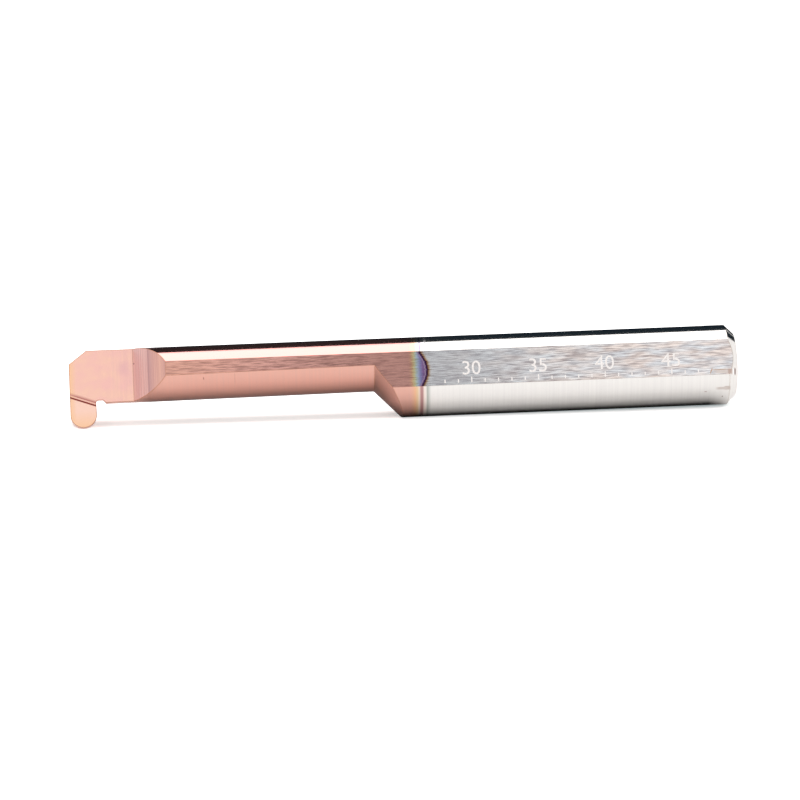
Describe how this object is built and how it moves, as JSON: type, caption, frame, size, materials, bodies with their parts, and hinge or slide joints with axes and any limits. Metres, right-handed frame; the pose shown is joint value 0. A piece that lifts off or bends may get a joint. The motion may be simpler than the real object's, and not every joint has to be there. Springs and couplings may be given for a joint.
{
  "type": "circular groove cutter",
  "caption": "Round-shank internal grooving bar with a relieved neck, a full-radius side tooth at its tip, a clamping flat, and a coated front half.",
  "frame": {"origin": "centre of the shank's rear end face, which the bar stands on", "axes": "+Z along the shank's axis towards the cutting head; -X the way the tooth points; -Y the way the rake face and the clamping flat face"},
  "size_m": [0.006, 0.0057, 0.05],
  "materials": {
    "ground_carbide": "ground and polished bare carbide at the shank, copper-coloured hard coating on the front half"
  },
  "bodies": {
    "root": {"groove_cutter": "ground_carbide"}
  },
  "joints": []
}
